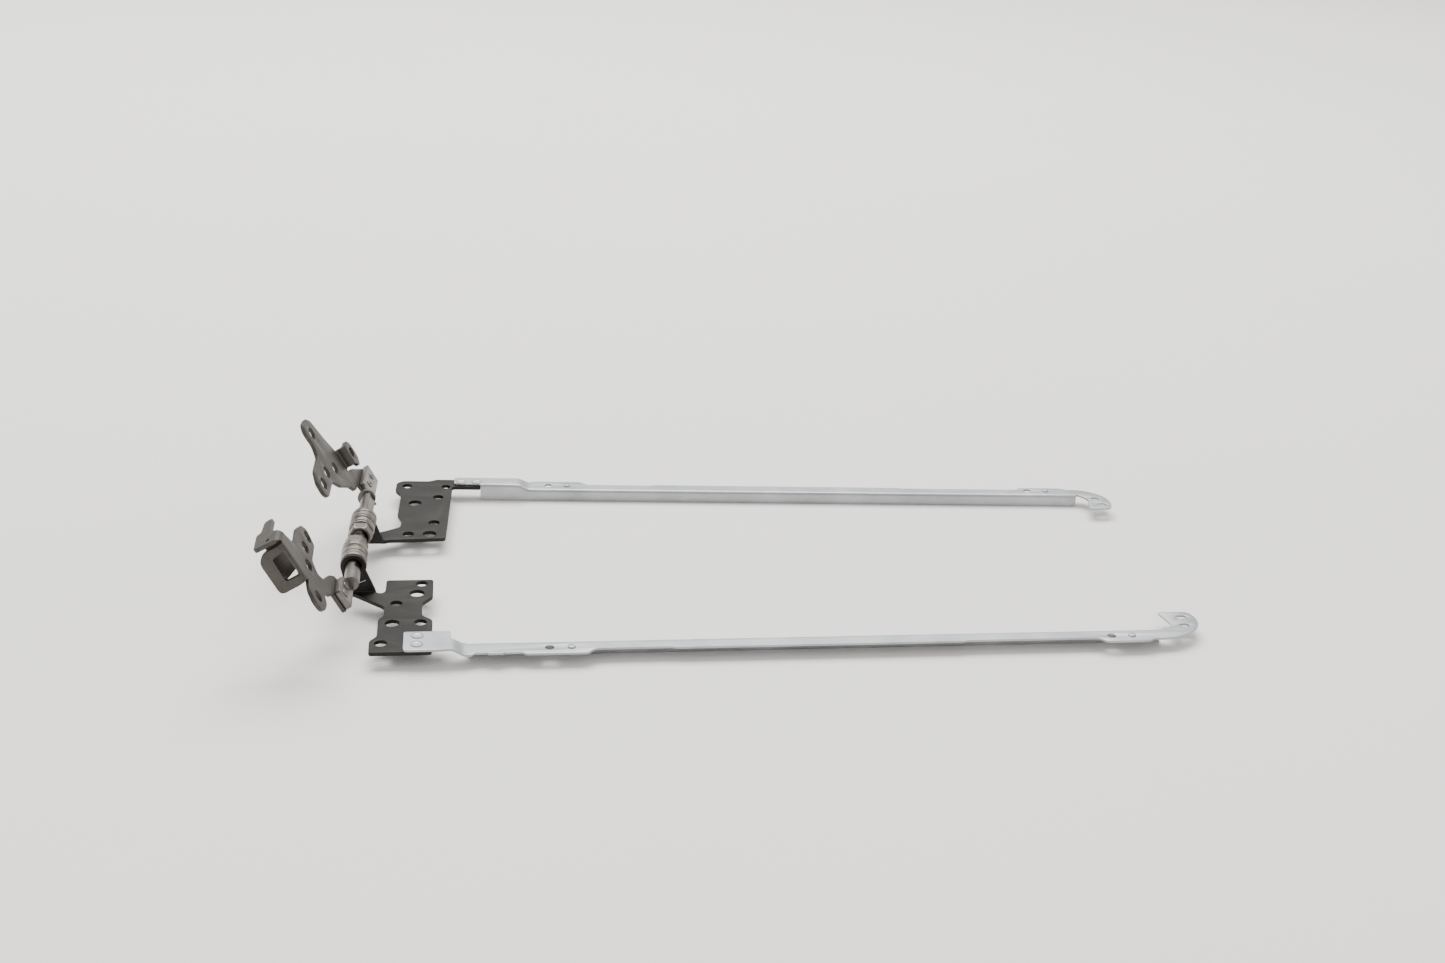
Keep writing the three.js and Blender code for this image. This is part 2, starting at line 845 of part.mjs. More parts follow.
const pair = new THREE.Group();
pair.add(near, far);
pair.updateMatrixWorld(true);
const centre = new THREE.Box3().setFromObject(pair, true).getCenter(new THREE.Vector3());
pair.children.forEach((unit) => unit.position.sub(new THREE.Vector3(centre.x, centre.y, 0)));

export default pair;
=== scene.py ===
import json
import math

import bmesh
import bpy
from mathutils import Matrix, Vector


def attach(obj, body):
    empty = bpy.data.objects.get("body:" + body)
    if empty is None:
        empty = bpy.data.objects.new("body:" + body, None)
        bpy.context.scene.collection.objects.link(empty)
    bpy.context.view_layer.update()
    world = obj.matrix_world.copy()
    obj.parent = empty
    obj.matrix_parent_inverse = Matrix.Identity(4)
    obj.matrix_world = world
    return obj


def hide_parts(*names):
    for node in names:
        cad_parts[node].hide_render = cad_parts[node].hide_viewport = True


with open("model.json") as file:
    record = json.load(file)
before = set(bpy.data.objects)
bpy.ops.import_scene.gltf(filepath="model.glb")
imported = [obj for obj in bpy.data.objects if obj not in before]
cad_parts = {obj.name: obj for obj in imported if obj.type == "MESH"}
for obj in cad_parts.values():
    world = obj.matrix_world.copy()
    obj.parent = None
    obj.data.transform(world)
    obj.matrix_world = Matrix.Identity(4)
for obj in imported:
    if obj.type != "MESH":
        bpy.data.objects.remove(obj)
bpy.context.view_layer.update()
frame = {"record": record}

mm = 0.001
turns = {j["name"]: j for j in frame["record"]["behaviour"]["joints"]}
up = Vector((0, 0, 1))


# where each hinge sits: x from the hinge axis along the rail, y along the axis, z from the table
def unitFrame(joint, alongAxis, flip, axisX):
    centre = Vector(turns[joint]["pos_m"]) / mm
    yAxis = Vector(turns[joint]["axis"]) * flip
    xAxis = yAxis.cross(up) * flip
    origin = centre - yAxis * alongAxis - xAxis * axisX
    frameMatrix = Matrix((xAxis, yAxis, up)).transposed().to_4x4()
    frameMatrix.translation = (origin.x, origin.y, 0)
    return Matrix.Scale(mm, 4) @ frameMatrix


axisHeight = turns["near_hinge_turn"]["pos_m"][2] / mm
openAngle = math.radians(turns["near_hinge_turn"]["range_deg"][1])
units = {
    "near": {"place": unitFrame("near_hinge_turn", 29.2, 1, 0.8), "axisX": 0.8, "ear": 29.7,
             "base": "near_base", "face": 1.8},
    "far": {"place": unitFrame("far_hinge_turn", 39.3, -1, 0), "axisX": 0, "ear": 39.8,
            "base": "far_base", "face": 1.1},
}


# base parts are drawn lying flat: u away from the axis, y along it, t through the sheet
def raisedPlace(unit):
    lift = Matrix.Translation((units[unit]["axisX"], 0, axisHeight)) @ Matrix.Rotation(-openAngle, 4, "Y")
    return units[unit]["place"] @ lift


# ---- outlines


def roundCorners(points, radius, steps=6):
    loop = []
    for i, corner in enumerate(points):
        c = Vector(corner[:2])
        before = Vector(points[i - 1][:2]) - c
        after = Vector(points[(i + 1) % len(points)][:2]) - c
        reach = corner[2] if len(corner) > 2 else radius
        cut = min(reach, before.length * 0.48, after.length * 0.48)
        a = c + before.normalized() * cut
        b = c + after.normalized() * cut
        for k in range(steps + 1):
            t = k / steps
            loop.append(a * (1 - t) ** 2 + c * 2 * t * (1 - t) + b * t * t)
    return loop


def circle(x, y, radius, count=40):
    turn = 2 * math.pi / count
    return [Vector((x + radius * math.cos(k * turn), y + radius * math.sin(k * turn))) for k in range(count)]


def arcPoints(x, y, radius, start, end, steps=14):
    angles = [math.radians(start + (end - start) * k / steps) for k in range(steps + 1)]
    return [(x + radius * math.cos(a), y + radius * math.sin(a), 0.01) for a in angles]


def slotLoop(x, y, length, radius, count=12):
    reach = length / 2 - radius
    right = [Vector((x + reach + radius * math.sin(math.pi * k / count),
                     y - radius * math.cos(math.pi * k / count))) for k in range(count + 1)]
    left = [Vector((x - reach - radius * math.sin(math.pi * k / count),
                    y + radius * math.cos(math.pi * k / count))) for k in range(count + 1)]
    return right + left


# a flat sheet with rounded edges, between heights low and high
def sheet(loops, low, high, edge=0.1):
    curve = bpy.data.curves.new("outline", "CURVE")
    curve.dimensions = "2D"
    curve.fill_mode = "BOTH"
    curve.extrude = (high - low) / 2 - edge
    curve.bevel_depth = edge
    curve.bevel_resolution = 2
    curve.offset = -edge
    for loop in loops:
        spline = curve.splines.new("POLY")
        spline.points.add(len(loop) - 1)
        for point, place in zip(spline.points, loop):
            point.co = (place[0], place[1], 0, 1)
        spline.use_cyclic_u = True
    holder = bpy.data.objects.new("outline", curve)
    bpy.context.scene.collection.objects.link(holder)
    bpy.context.view_layer.update()
    mesh = bpy.data.meshes.new_from_object(holder.evaluated_get(bpy.context.evaluated_depsgraph_get()))
    shape = bmesh.new()
    shape.from_mesh(mesh)
    bpy.data.objects.remove(holder)
    bpy.data.curves.remove(curve)
    bpy.data.meshes.remove(mesh)
    bmesh.ops.remove_doubles(shape, verts=shape.verts, dist=0.002)
    bmesh.ops.translate(shape, verts=shape.verts, vec=(0, 0, (low + high) / 2))
    return shape


def cutLines(shape, point, direction, offsets):
    normal = Vector((direction[0], direction[1], 0)).normalized()
    for s in offsets:
        everything = shape.verts[:] + shape.edges[:] + shape.faces[:]
        bmesh.ops.bisect_plane(shape, geom=everything, dist=0.0005,
                               plane_co=Vector((point[0], point[1], 0)) + normal * s, plane_no=normal)


# bends what lies past the line through point, towards direction, about the sheet's middle layer
def fold(shape, point, direction, angle, radius, middle, where, steps=7):
    normal = Vector((direction[0], direction[1], 0)).normalized()
    start = Vector((point[0], point[1], 0))
    sign = 1 if angle > 0 else -1
    full = abs(math.radians(angle))
    length = radius * full
    cutLines(shape, point, direction, [length * k / steps for k in range(steps + 1)])
    for v in shape.verts:
        s = (v.co - start).dot(normal)
        if s <= 1e-4 or not where(v.co):
            continue
        turn = min(s / radius, full)
        extra = max(s - length, 0)
        height = sign * (v.co.z - middle)
        along = (radius - height) * math.sin(turn) + extra * math.cos(turn)
        rise = radius - (radius - height) * math.cos(turn) + extra * math.sin(turn)
        v.co += normal * (along - s)
        v.co.z = middle + sign * rise


def smoothStep(t):
    t = min(max(t, 0), 1)
    return t * t * (3 - 2 * t)


# ---- finishing


def toObject(name, shape, place, material, smooth=35):
    bmesh.ops.remove_doubles(shape, verts=shape.verts, dist=0.0008)
    bmesh.ops.dissolve_degenerate(shape, dist=0.0005, edges=shape.edges)
    mesh = bpy.data.meshes.new(name)
    bmesh.ops.transform(shape, matrix=place, verts=shape.verts)
    bmesh.ops.recalc_face_normals(shape, faces=shape.faces)
    bmesh.ops.triangulate(shape, faces=[f for f in shape.faces if len(f.verts) > 4])
    shape.to_mesh(mesh)
    shape.free()
    mesh.materials.append(material)
    mesh.shade_smooth()
    mesh.set_sharp_from_angle(angle=math.radians(smooth))
    piece = bpy.data.objects.new(name, mesh)
    bpy.context.scene.collection.objects.link(piece)
    return piece


def finish(piece, body, slot, *nodes):
    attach(piece, body)
    if nodes:
        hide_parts(*nodes)
    print("made", piece.name)


def joined(shapes):
    whole = shapes[0]
    for extra in shapes[1:]:
        mesh = bpy.data.meshes.new("extra")
        extra.to_mesh(mesh)
        whole.from_mesh(mesh)
        extra.free()
        bpy.data.meshes.remove(mesh)
    return whole


# rings of (distance along y, radius), turned about the hinge axis; shaper may reshape each ring
def turned(profile, shaper=None, segments=72):
    shape = bmesh.new()
    rings = []
    for y, radius in profile:
        ring = []
        for k in range(segments):
            a = 2 * math.pi * k / segments
            r = shaper(a, radius, y) if shaper else radius
            ring.append(shape.verts.new((r * math.cos(a), y, r * math.sin(a))))
        rings.append(ring)
    for a, b in zip(rings, rings[1:]):
        for k in range(segments):
            shape.faces.new((a[k], a[(k + 1) % segments], b[(k + 1) % segments], b[k]))
    shape.faces.new(rings[0])
    shape.faces.new(list(reversed(rings[-1])))
    return shape


# ---- camera, floor and light

stageLook = {
    "cameraPlace": (-60.64, -431.033, 219.477), "turn": 7.58, "down": 23.90, "roll": 3.19,
    "lens": 45.34, "floorSize": 4.0,
    "floorColour": (0.91, 0.885, 0.865), "skyStrength": 0.9, "topLight": 39.0, "sideLight": 1.2,
}


def makeCamera():
    camera = bpy.data.cameras.new("camera")
    camera.lens = stageLook["lens"]
    camera.sensor_width = 36
    camera.clip_start = 0.01
    holder = bpy.data.objects.new("camera", camera)
    bpy.context.scene.collection.objects.link(holder)
    a = math.radians(stageLook["turn"])
    e = math.radians(stageLook["down"])
    forward = Vector((math.sin(a) * math.cos(e), math.cos(a) * math.cos(e), -math.sin(e)))
    right = Vector((math.cos(a), -math.sin(a), 0))
    top = right.cross(forward)
    pose = Matrix((right, top, -forward)).transposed().to_4x4()
    pose = pose @ Matrix.Rotation(math.radians(stageLook["roll"]), 4, "Z")
    pose.translation = Vector(stageLook["cameraPlace"]) * mm
    holder.matrix_world = pose
    bpy.context.scene.camera = holder


def paperMaterial(name, colour):
    material = bpy.data.materials.new(name)
    material.use_nodes = True
    nodes, links = material.node_tree.nodes, material.node_tree.links
    shader = nodes["Principled BSDF"]
    shader.inputs["Roughness"].default_value = 0.65
    shader.inputs["Specular IOR Level"].default_value = 0.2
    coords = nodes.new("ShaderNodeTexCoord")
    grain = nodes.new("ShaderNodeTexNoise")
    grain.inputs["Scale"].default_value = 5
    grain.inputs["Detail"].default_value = 3
    ramp = nodes.new("ShaderNodeValToRGB")
    ramp.color_ramp.elements[0].position = 0.3
    ramp.color_ramp.elements[0].color = [c * 0.985 for c in colour] + [1]
    ramp.color_ramp.elements[1].position = 0.7
    ramp.color_ramp.elements[1].color = list(colour) + [1]
    links.new(coords.outputs["Object"], grain.inputs["Vector"])
    links.new(grain.outputs["Fac"], ramp.inputs["Fac"])
    links.new(ramp.outputs["Color"], shader.inputs["Base Color"])
    return material


def stagePlane(name, corners, colour):
    mesh = bpy.data.meshes.new(name)
    mesh.from_pydata(corners, [], [(0, 1, 2, 3)])
    mesh.materials.append(paperMaterial(name, colour))
    plane = bpy.data.objects.new(name, mesh)
    bpy.context.scene.collection.objects.link(plane)


def areaLight(name, place, target, size, power):
    light = bpy.data.lights.new(name, "AREA")
    light.shape = "RECTANGLE"
    light.size, light.size_y = size
    light.energy = power
    holder = bpy.data.objects.new(name, light)
    bpy.context.scene.collection.objects.link(holder)
    holder.location = place
    aim = Vector(target) - Vector(place)
    holder.rotation_euler = aim.to_track_quat("-Z", "Y").to_euler()


def makeStage():
    s = stageLook["floorSize"]
    stagePlane("floor", [(-s, -s, 0), (s, -s, 0), (s, s, 0), (-s, s, 0)], stageLook["floorColour"])
    world = bpy.data.worlds.new("studio")
    world.use_nodes = True
    world.node_tree.nodes["Background"].inputs["Color"].default_value = (1.0, 0.99, 0.975, 1)
    world.node_tree.nodes["Background"].inputs["Strength"].default_value = stageLook["skyStrength"]
    bpy.context.scene.world = world
    areaLight("topLight", (-0.1, 0.75, 1.25), (-0.03, 0, 0), (1.5, 0.9), stageLook["topLight"])
    areaLight("sideLight", (0.9, -0.5, 0.9), (0, 0, 0), (0.8, 0.8), stageLook["sideLight"])


makeCamera()
makeStage()
print("stage ready")


# ---- materials


def metal(name, look):
    material = bpy.data.materials.new(name)
    material.use_nodes = True
    nodes, links = material.node_tree.nodes, material.node_tree.links
    shader = nodes["Principled BSDF"]
    shader.inputs["Metallic"].default_value = look["metal"]
    shader.inputs["IOR"].default_value = 1.5
    coords = nodes.new("ShaderNodeTexCoord")
    cloud = nodes.new("ShaderNodeTexNoise")  # broad tone changes
    cloud.inputs["Scale"].default_value = look["cloudScale"]
    cloud.inputs["Detail"].default_value = 4
    stretch = nodes.new("ShaderNodeMapping")
    stretch.inputs["Scale"].default_value = look["grainStretch"]
    grain = nodes.new("ShaderNodeTexNoise")  # fine rolled or blasted grain
    grain.inputs["Scale"].default_value = look["grainScale"]
    grain.inputs["Detail"].default_value = 6
    grain.inputs["Roughness"].default_value = 0.65
    tone = nodes.new("ShaderNodeValToRGB")
    tone.color_ramp.elements[0].position = 0.32
    tone.color_ramp.elements[0].color = look["dark"] + (1,)
    tone.color_ramp.elements[1].position = 0.68
    tone.color_ramp.elements[1].color = look["light"] + (1,)
    blend = nodes.new("ShaderNodeMix")
    blend.inputs["Factor"].default_value = look["grainTone"]
    gloss = nodes.new("ShaderNodeMapRange")
    gloss.inputs["To Min"].default_value = look["gloss"][0]
    gloss.inputs["To Max"].default_value = look["gloss"][1]
    bump = nodes.new("ShaderNodeBump")
    bump.inputs["Strength"].default_value = look["bump"]
    bump.inputs["Distance"].default_value = 0.00004
    links.new(coords.outputs["Object"], cloud.inputs["Vector"])
    links.new(coords.outputs["Object"], stretch.inputs["Vector"])
    links.new(stretch.outputs["Vector"], grain.inputs["Vector"])
    links.new(cloud.outputs["Fac"], blend.inputs["A"])
    links.new(grain.outputs["Fac"], blend.inputs["B"])
    links.new(blend.outputs["Result"], tone.inputs["Fac"])
    links.new(tone.outputs["Color"], shader.inputs["Base Color"])
    links.new(grain.outputs["Fac"], gloss.inputs["Value"])
    links.new(gloss.outputs["Result"], shader.inputs["Roughness"])
    links.new(grain.outputs["Fac"], bump.inputs["Height"])
    links.new(bump.outputs["Normal"], shader.inputs["Normal"])
    return material


zinc = metal("zincPlating", {
    "metal": 0.75, "cloudScale": 90, "grainScale": 900, "grainStretch": (0.25, 1.6, 1.6), "grainTone": 0.35,
    "dark": (0.31, 0.322, 0.333), "light": (0.47, 0.48, 0.492), "gloss": (0.34, 0.5), "bump": 0.25,
})
darkPlate = metal("darkPlating", {
    "metal": 0.8, "cloudScale": 140, "grainScale": 1500, "grainStretch": (1, 1, 1), "grainTone": 0.55,
    "dark": (0.048, 0.043, 0.038), "light": (0.092, 0.084, 0.075), "gloss": (0.38, 0.58), "bump": 0.45,
})
# the lid leaves are the same dark plating as the brackets but get darker colours: painted shade standing in
# for the little light the flat leaves reflect
leafPlateShaded = metal("leafPlatingPaintedShade", {
    "metal": 0.8, "cloudScale": 140, "grainScale": 1500, "grainStretch": (1, 1, 1), "grainTone": 0.55,
    "dark": (0.016, 0.015, 0.013), "light": (0.030, 0.028, 0.026), "gloss": (0.46, 0.64), "bump": 0.45,
})
turnedSteel = metal("turnedSteel", {
    "metal": 0.9, "cloudScale": 200, "grainScale": 1200, "grainStretch": (0.6, 3, 0.6), "grainTone": 0.5,
    "dark": (0.10, 0.092, 0.083), "light": (0.20, 0.187, 0.172), "gloss": (0.25, 0.42), "bump": 0.3,
})
bronzed = metal("bronzedDisc", {
    "metal": 0.85, "cloudScale": 260, "grainScale": 1100, "grainStretch": (1, 4, 1), "grainTone": 0.45,
    "dark": (0.145, 0.125, 0.108), "light": (0.29, 0.256, 0.225), "gloss": (0.24, 0.42), "bump": 0.3,
})
springSteel = metal("springSteel", {
    "metal": 0.95, "cloudScale": 260, "grainScale": 1100, "grainStretch": (1, 4, 1), "grainTone": 0.4,
    "dark": (0.22, 0.207, 0.19), "light": (0.37, 0.353, 0.333), "gloss": (0.2, 0.34), "bump": 0.2,
})
nutSteel = metal("nutPlating", {
    "metal": 0.85, "cloudScale": 220, "grainScale": 1300, "grainStretch": (1, 1, 1), "grainTone": 0.5,
    "dark": (0.10, 0.09, 0.08), "light": (0.21, 0.19, 0.17), "gloss": (0.3, 0.5), "bump": 0.3,
})
print("materials ready")


# ---- lid leaves

leafLook = {"low": 3.3, "high": 4.3, "bend": 0.9, "bore": 2.05, "edge": 0.1}
leaves = {
    "near": {
        "before": [(-1.0, 28.2), (0.5, 28.2), (8.5, 20.8), (8.5, 16.0), (7.2, 14.2), (7.2, 5.6), (5.5, 3.4),
                   (5.5, -2.3), (20.4, -2.3), (20.4, 13.6), (17.9, 15.8), (17.7, 22.3), (20.4, 26.0),
                   (20.4, 35.1), (8.6, 35.1), (8.5, 29.2), (7.9, 28.15), (6.6, 28.15)],
        "foot": (-1.0, 6.0), "hub": 3.2, "slit": [(2.0, 31.4), (3.7, 32.2), (3.8, 32.7), (2.0, 31.9)],
        "holes": [(17.5, 32.9, 1.4), (16.4, 27.7, 1.8), (11.4, 22.4, 1.45), (10.7, 12.1, 1.75),
                  (17.5, 12.4, 1.5), (8.3, 2.2, 1.5)],
        "reach": 7.3,
    },
    "far": {
        "before": [(-1.2, 35.6), (3.8, 33.4), (8.5, 30.2), (8.6, 26.4), (7.2, 22.6), (7.2, 9.2), (5.4, 6.2),
                   (5.4, 1.2, 1.4), (7.0, -0.3, 1.4), (14.6, -0.3), (16.4, -1.5), (34.6, -1.5), (34.6, 2.2),
                   (29.1, 2.2), (29.1, 3.3), (21.2, 3.3), (21.0, 36.9), (6.6, 38.25), (5.6, 38.3)],
        "foot": (-1.2, 4.6), "hub": 2.8, "slit": None,
        "holes": [(8.5, 3.2, 1.35), (17.6, 10.6, 1.4), (11.5, 14.7, 1.75), (17.4, 27.3, 1.5),
                  (11.0, 34.6, 1.5), (16.6, 34.4, 1.8), (19.4, 3.4, 1.2)],
        "reach": 6.5,
    },
}


def makeLeaf(unit):
    plan = leaves[unit]
    low, high, bend = leafLook["low"], leafLook["high"], leafLook["bend"]
    middle = (low + high) / 2
    start = units[unit]["ear"] - (high - low) / 2 - bend
    hub = start + bend * math.pi / 2 + axisHeight - middle - bend
    left, right = plan["foot"]
    centre = units[unit]["axisX"]
    ear = [(right, start + 1.6)] + arcPoints(centre, hub, plan["hub"], -20, 200) + [(left, start + 1.6)]
    outline = roundCorners(plan["before"] + ear, 0.9)
    loops = [outline] + [circle(*hole) for hole in plan["holes"]]
    loops.append(circle(centre, hub, leafLook["bore"], 48))
    if plan["slit"]:
        loops.append(roundCorners(plan["slit"], 0.15))
    shape = sheet(loops, low, high, leafLook["edge"])
    fold(shape, (0, start), (0, 1), 90, bend, middle, lambda co: co.x < plan["reach"])
    # the leaves take the darker copy of the dark plating, which carries painted shade in its colour
    piece = toObject(unit + "LidLeaf", shape, units[unit]["place"], leafPlateShaded)
    finish(piece, "lid_side", "dark_plate", unit + "_lid_leaf")


for unit in units:
    makeLeaf(unit)


# ---- display rails

railLook = {
    "sheet": 0.6, "top": 3.5, "raise": 1.45, "flange": 3.2, "bend": 0.6, "end": 203.4, "edge": 0.08,
    "screws": (48.4, 189.4), "screwRadius": 1.1,
}
railMiddle = railLook["top"] - railLook["sheet"] / 2
flangeStart = railLook["flange"] - railLook["sheet"] / 2 - railLook["bend"]
flangeFlat = flangeStart + railLook["bend"] * math.pi / 2 + railMiddle - railLook["bend"]
longRun = [(59.6, -0.8), (78, -0.7), (79.2, -1.1), (150.6, -1.1), (152, -0.7)]
rails = {
    "near": {
        "outline": [(13.6, -2.2), (14.4, -2.6), (22.4, -2.6), (24.8, -2.4), (28.6, -2.9, 0.6), (29.8, -2.9),
                    (30.6, -2.0, 0.3), (33.4, -2.0, 0.15), (33.6, -2.9, 0.3), (37.4, -2.9, 0.3),
                    (37.6, -2.0, 0.15), (41.8, -2.0, 0.3), (42.6, -2.8), (57.6, -2.8)] + longRun
        + [(185.8, -0.8), (187.4, -2.7), (199.0, -2.7), (200.2, -1.6), (202.8, -1.7), (206.5, -1.2, 3),
           (211.2, 1.2, 3), (214.2, 4.4, 3), (214.9, 8.6, 3), (213.6, 11.8, 1.4), (205.6, 11.9, 0.6),
           (207.2, 5.2, 1.6), (204.9, 3.0, 1), (203.9, 2.4, 0.3), (203.4, 3.0, 0.2), (203.4, flangeFlat, 0.4),
           (28.6, flangeFlat, 0.4), (28.5, 3.0, 0.2), (27.4, 2.6, 0.3), (24.9, 2.9, 0.4), (24.8, 6.5),
           (13.6, 6.5)],
        "slots": [(211.1, 9.1, 2.8, 0.85), (210.4, 4.8, 2.5, 0.75)],
        "raised": (24.6, 28.6), "flangeFrom": 28.3, "tongue": (33.6, 37.4),
    },
    "far": {
        "outline": [(21.6, -1.6), (39.4, -1.6, 1.2), (42.8, -1.9), (43.8, -2.7), (57.4, -2.7)] + longRun
        + [(185.8, -0.8), (187.4, -2.0), (199.4, -2.0), (201.2, -1.1), (205.4, -1.0, 3), (209.4, 1.0, 3),
           (212.0, 4.0, 3), (212.7, 8.2, 3), (211.6, 11.6, 1.4), (205.0, 11.9, 0.6), (206.4, 5.2, 1.6),
           (204.6, 3.0, 1), (203.9, 2.4, 0.3), (203.4, 3.0, 0.2), (203.4, flangeFlat, 0.4),
           (43.4, flangeFlat, 2), (39.4, flangeFlat + 1.45, 2), (29.2, flangeFlat + 1.45, 0.4),
           (29.1, 2.8, 0.2), (28.0, 2.5, 0.3), (21.6, 2.5)],
        "slots": [(209.6, 9.0, 2.6, 0.8), (208.6, 4.9, 2.3, 0.7)],
        "raised": (39.2, 43.4), "flangeFrom": 28.8, "tongue": None,
    },
}


def makeRail(unit):
    plan = rails[unit]
    loops = [roundCorners(plan["outline"], 0.7)]
    loops += [circle(x, 0, railLook["screwRadius"], 32) for x in railLook["screws"]]
    loops += [slotLoop(*slot) for slot in plan["slots"]]
    top = railLook["top"]
    shape = sheet(loops, top - railLook["sheet"], top, railLook["edge"])
    low, high = plan["raised"]
    cutLines(shape, (low, 0), (1, 0), [(high - low) * k / 10 for k in range(11)])
    cutLines(shape, (60, 0), (1, 0), range(0, 140, 10))
    cutLines(shape, (0, 1.0), (0, 1), (0, 0.6))
    if plan["tongue"]:
        cutLines(shape, (0, -2.2), (0, 1), (0, 0.5, 1.0))
    fold(shape, (0, flangeStart), (0, 1), -90, railLook["bend"], railMiddle,
         lambda co: plan["flangeFrom"] < co.x < railLook["end"] + 0.2)
    for v in shape.verts:
        v.co.z += railLook["raise"] * smoothStep((high - v.co.x) / (high - low))
        if plan["tongue"] and plan["tongue"][0] - 0.1 < v.co.x < plan["tongue"][1] + 0.1 and v.co.y < -1.15:
            v.co.z += 0.35 * smoothStep((-1.15 - v.co.y) / 1.2)
    piece = toObject(unit + "DisplayRail", shape, units[unit]["place"], zinc)
    finish(piece, "lid_side", "zinc_rail", unit + "_display_rail")


for unit in units:
    makeRail(unit)


# ---- pressed rings and pips, set out by Geometry Nodes

pipPitch = 5.3
ringTop = 4.95
rivets = {"near": [(16.9, 4.5), (16.8, 0.3)], "far": [(23.6, 1.3), (28.0, 1.3)]}


# a round shape from a profile, repeated on every point of the mesh that carries the modifier
def repeatTree(name):
    tree = bpy.data.node_groups.new(name, "GeometryNodeTree")
    face = tree.interface
    face.new_socket("Geometry", in_out="INPUT", socket_type="NodeSocketGeometry")
    face.new_socket("Shape", in_out="INPUT", socket_type="NodeSocketObject")
    face.new_socket("Size", in_out="INPUT", socket_type="NodeSocketFloat")
    face.new_socket("Finish", in_out="INPUT", socket_type="NodeSocketMaterial")
    face.new_socket("Geometry", in_out="OUTPUT", socket_type="NodeSocketGeometry")
    nodes, links = tree.nodes, tree.links
    start, end = nodes.new("NodeGroupInput"), nodes.new("NodeGroupOutput")
    info = nodes.new("GeometryNodeObjectInfo")
    points = nodes.new("GeometryNodeMeshToPoints")
    copies = nodes.new("GeometryNodeInstanceOnPoints")
    real = nodes.new("GeometryNodeRealizeInstances")
    finishNode = nodes.new("GeometryNodeSetMaterial")
    links.new(start.outputs["Geometry"], points.inputs["Mesh"])
    links.new(start.outputs["Shape"], info.inputs["Object"])
    links.new(points.outputs["Points"], copies.inputs["Points"])
    links.new(info.outputs["Geometry"], copies.inputs["Instance"])
    links.new(start.outputs["Size"], copies.inputs["Scale"])
    links.new(copies.outputs["Instances"], real.inputs["Geometry"])
    links.new(real.outputs["Geometry"], finishNode.inputs["Geometry"])
    links.new(start.outputs["Finish"], finishNode.inputs["Material"])
    links.new(finishNode.outputs["Geometry"], end.inputs["Geometry"])
    return tree


copyTree = repeatTree("copiesOnPoints")


def setOut(name, places, shape, material):
    mesh = bpy.data.meshes.new(name)
    mesh.from_pydata(places, [], [])
    carrier = bpy.data.objects.new(name, mesh)
    bpy.context.scene.collection.objects.link(carrier)
    modifier = carrier.modifiers.new("copies", "NODES")
    modifier.node_group = copyTree
    sockets = {s.name: s.identifier for s in copyTree.interface.items_tree if s.in_out == "INPUT"}
    modifier[sockets["Shape"]] = shape
    modifier[sockets["Size"]] = 1.0
    modifier[sockets["Finish"]] = material
    bpy.context.view_layer.update()
    result = bpy.data.meshes.new_from_object(carrier.evaluated_get(bpy.context.evaluated_depsgraph_get()))
    carrier.modifiers.remove(modifier)
    piece = bpy.data.objects.new(name, result)
    bpy.context.scene.collection.objects.link(piece)
    bpy.data.objects.remove(carrier)
    return piece


# a small turned shape standing on z, from (height, radius) pairs
def upright(name, profile, segments=36):
    shape = turned(profile, None, segments)
    stand = Matrix.Rotation(math.radians(90), 4, "X")
    bmesh.ops.transform(shape, matrix=Matrix.Scale(mm, 4) @ stand, verts=shape.verts)
    bmesh.ops.recalc_face_normals(shape, faces=shape.faces)
    mesh = bpy.data.meshes.new(name)
    shape.to_mesh(mesh)
    shape.free()
    mesh.shade_smooth()
    mesh.set_sharp_from_angle(angle=math.radians(40))
    piece = bpy.data.objects.new(name, mesh)
    bpy.context.scene.collection.objects.link(piece)
    return piece


pip = upright("pip", [(-0.1, 1.0), (0.0, 1.0), (0.2, 0.97), (0.34, 0.86), (0.42, 0.66), (0.42, 0.5),
                      (0.3, 0.42), (0.26, 0.2), (0.25, 0.02)])
ring = upright("ring", [(-0.05, 1.5), (0.12, 1.5), (0.24, 1.42), (0.3, 1.28), (0.28, 1.12), (0.14, 1.0),
                        (0.1, 0.9), (0.1, 0.02)])
for unit in units:
    place = units[unit]["place"]
    spots = [place @ Vector((x + pipPitch, 0, railLook["top"])) for x in railLook["screws"]]
    pips = setOut(unit + "RailPips", spots, pip, zinc)
    finish(pips, "lid_side", "zinc_rail")
    for number, (x, y) in enumerate(rivets[unit], 1):
        spot = [place @ Vector((x, y, ringTop))]
        rivet = setOut(f"{unit}ClinchRivet{number}", spot, ring, zinc)
        finish(rivet, "lid_side", "zinc_rivet", f"{unit}_clinch_rivet_{number}")
for shape in (pip, ring):
    bpy.data.objects.remove(shape)


# ---- base brackets

